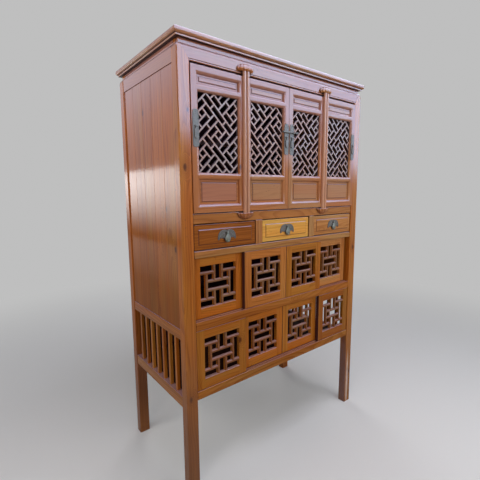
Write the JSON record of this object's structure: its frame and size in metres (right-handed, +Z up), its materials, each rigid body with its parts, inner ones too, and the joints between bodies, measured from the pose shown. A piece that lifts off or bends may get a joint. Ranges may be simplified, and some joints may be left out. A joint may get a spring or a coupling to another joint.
{
  "type": "food cabinet",
  "caption": "Tall pine food cabinet on square legs: lattice doors on lotus pivots, a row of drawers, and tiers of sliding fret panels with spindled sides.",
  "frame": {"origin": "floor level, under the middle of the cabinet's bounding box", "axes": "+Z up, the doors face -Y, +X to the right of someone facing the doors"},
  "size_m": [1.124, 0.584, 1.8],
  "materials": {
    "pine": "glossy amber varnish",
    "pine_door": "glossy amber varnish",
    "pine_lattice": "satin varnish",
    "pine_dark": "darker varnish",
    "pine_pale": "pale yellow varnish",
    "pine_inside": "dull, dark",
    "pewter": "dull grey white copper"
  },
  "bodies": {
    "carcass": {"top_board": "pine", "frieze_rail": "pine", "door_sill_rail": "pine", "drawer_sill_rail": "pine", "middle_rail": "pine", "bottom_rail": "pine", "side_panel_left": "pine", "side_panel_right": "pine", "side_grille_left": "pine", "side_grille_right": "pine", "back_panel": "pine_inside", "bottom_floor": "pine_inside", "tier_floor": "pine_inside", "drawer_floor": "pine_inside", "cupboard_floor": "pine_inside", "cupboard_shelf": "pine_inside", "drawer_divider_left": "pine", "drawer_divider_right": "pine", "post_front_left": "pine", "post_front_right": "pine", "post_back_left": "pine", "post_back_right": "pine", "lotus_top_left": "pine", "lotus_top_right": "pine", "lotus_bottom_left": "pine", "lotus_bottom_right": "pine"},
    "door_1": {"door_1_frame": "pine_door", "door_1_lattice": "pine_lattice", "door_1_plate": "pewter"},
    "door_1_pull": {"door_1_pull": "pewter"},
    "door_2": {"door_2_frame": "pine_door", "door_2_lattice": "pine_lattice", "door_2_plate": "pewter"},
    "door_2_pull": {"door_2_pull": "pewter"},
    "door_3": {"door_3_frame": "pine_door", "door_3_lattice": "pine_lattice", "door_3_plate": "pewter"},
    "door_3_pull": {"door_3_pull": "pewter"},
    "door_4": {"door_4_frame": "pine_door", "door_4_lattice": "pine_lattice", "door_4_plate": "pewter"},
    "door_4_pull": {"door_4_pull": "pewter"},
    "lock_bolt": {"lock_bolt": "pewter"},
    "drawer_left": {"drawer_left": "pine_dark", "drawer_left_plate": "pewter"},
    "drawer_left_pull": {"drawer_left_pull": "pewter"},
    "drawer_middle": {"drawer_middle": "pine_pale", "drawer_middle_plate": "pewter"},
    "drawer_middle_pull": {"drawer_middle_pull": "pewter"},
    "drawer_right": {"drawer_right": "pine", "drawer_right_plate": "pewter"},
    "drawer_right_pull": {"drawer_right_pull": "pewter"},
    "slide_upper_1": {"slide_upper_1": "pine"},
    "slide_upper_2": {"slide_upper_2": "pine"},
    "slide_upper_3": {"slide_upper_3": "pine"},
    "slide_upper_4": {"slide_upper_4": "pine"},
    "slide_lower_1": {"slide_lower_1": "pine"},
    "slide_lower_2": {"slide_lower_2": "pine"},
    "slide_lower_3": {"slide_lower_3": "pine"},
    "slide_lower_4": {"slide_lower_4": "pine"}
  },
  "joints": [
    {"name": "door_1_pivot", "type": "hinge", "parent": "carcass", "child": "door_1", "pos_m": [-0.2583, -0.2775, 1.4355], "axis": [0, 0, 1], "range_deg": [0, 75]},
    {"name": "door_1_pull_swing", "type": "hinge", "parent": "door_1", "child": "door_1_pull", "pos_m": [-0.4832, -0.2788, 1.4825], "axis": [-1, 0, 0], "range_deg": [0, 75]},
    {"name": "door_2_pivot", "type": "hinge", "parent": "carcass", "child": "door_2", "pos_m": [-0.2417, -0.2775, 1.4355], "axis": [0, 0, -1], "range_deg": [0, 75]},
    {"name": "door_2_pull_swing", "type": "hinge", "parent": "door_2", "child": "door_2_pull", "pos_m": [-0.0168, -0.2788, 1.4825], "axis": [-1, 0, 0], "range_deg": [0, 75]},
    {"name": "door_3_pivot", "type": "hinge", "parent": "carcass", "child": "door_3", "pos_m": [0.2417, -0.2775, 1.4355], "axis": [0, 0, 1], "range_deg": [0, 75]},
    {"name": "door_3_pull_swing", "type": "hinge", "parent": "door_3", "child": "door_3_pull", "pos_m": [0.0168, -0.2788, 1.4825], "axis": [-1, 0, 0], "range_deg": [0, 75]},
    {"name": "door_4_pivot", "type": "hinge", "parent": "carcass", "child": "door_4", "pos_m": [0.2583, -0.2775, 1.4355], "axis": [0, 0, -1], "range_deg": [0, 75]},
    {"name": "door_4_pull_swing", "type": "hinge", "parent": "door_4", "child": "door_4_pull", "pos_m": [0.4832, -0.2788, 1.4825], "axis": [-1, 0, 0], "range_deg": [0, 75]},
    {"name": "lock_bolt_slide", "type": "slide", "parent": "door_3", "child": "lock_bolt", "axis": [-1, 0, 0], "range_m": [0, 0.015]},
    {"name": "drawer_left_slide", "type": "slide", "parent": "carcass", "child": "drawer_left", "axis": [0, -1, 0], "range_m": [0, 0.3]},
    {"name": "drawer_left_pull_swing", "type": "hinge", "parent": "drawer_left", "child": "drawer_left_pull", "pos_m": [-0.34533, -0.2743, 1.08537], "axis": [-1, 0, 0], "range_deg": [0, 75]},
    {"name": "drawer_middle_slide", "type": "slide", "parent": "carcass", "child": "drawer_middle", "axis": [0, -1, 0], "range_m": [0, 0.3]},
    {"name": "drawer_middle_pull_swing", "type": "hinge", "parent": "drawer_middle", "child": "drawer_middle_pull", "pos_m": [0, -0.2743, 1.08537], "axis": [-1, 0, 0], "range_deg": [0, 75]},
    {"name": "drawer_right_slide", "type": "slide", "parent": "carcass", "child": "drawer_right", "axis": [0, -1, 0], "range_m": [0, 0.3]},
    {"name": "drawer_right_pull_swing", "type": "hinge", "parent": "drawer_right", "child": "drawer_right_pull", "pos_m": [0.34533, -0.2743, 1.08537], "axis": [-1, 0, 0], "range_deg": [0, 75]},
    {"name": "slide_upper_1_slide", "type": "slide", "parent": "carcass", "child": "slide_upper_1", "axis": [1, 0, 0], "range_m": [0, 0.246]},
    {"name": "slide_upper_2_slide", "type": "slide", "parent": "carcass", "child": "slide_upper_2", "axis": [-1, 0, 0], "range_m": [0, 0.246]},
    {"name": "slide_upper_3_slide", "type": "slide", "parent": "carcass", "child": "slide_upper_3", "axis": [1, 0, 0], "range_m": [0, 0.246]},
    {"name": "slide_upper_4_slide", "type": "slide", "parent": "carcass", "child": "slide_upper_4", "axis": [-1, 0, 0], "range_m": [-0.011, 0.235]},
    {"name": "slide_lower_1_slide", "type": "slide", "parent": "carcass", "child": "slide_lower_1", "axis": [1, 0, 0], "range_m": [0, 0.246]},
    {"name": "slide_lower_2_slide", "type": "slide", "parent": "carcass", "child": "slide_lower_2", "axis": [-1, 0, 0], "range_m": [0, 0.246]},
    {"name": "slide_lower_3_slide", "type": "slide", "parent": "carcass", "child": "slide_lower_3", "axis": [1, 0, 0], "range_m": [0, 0.246]},
    {"name": "slide_lower_4_slide", "type": "slide", "parent": "carcass", "child": "slide_lower_4", "axis": [-1, 0, 0], "range_m": [0, 0.246]}
  ]
}
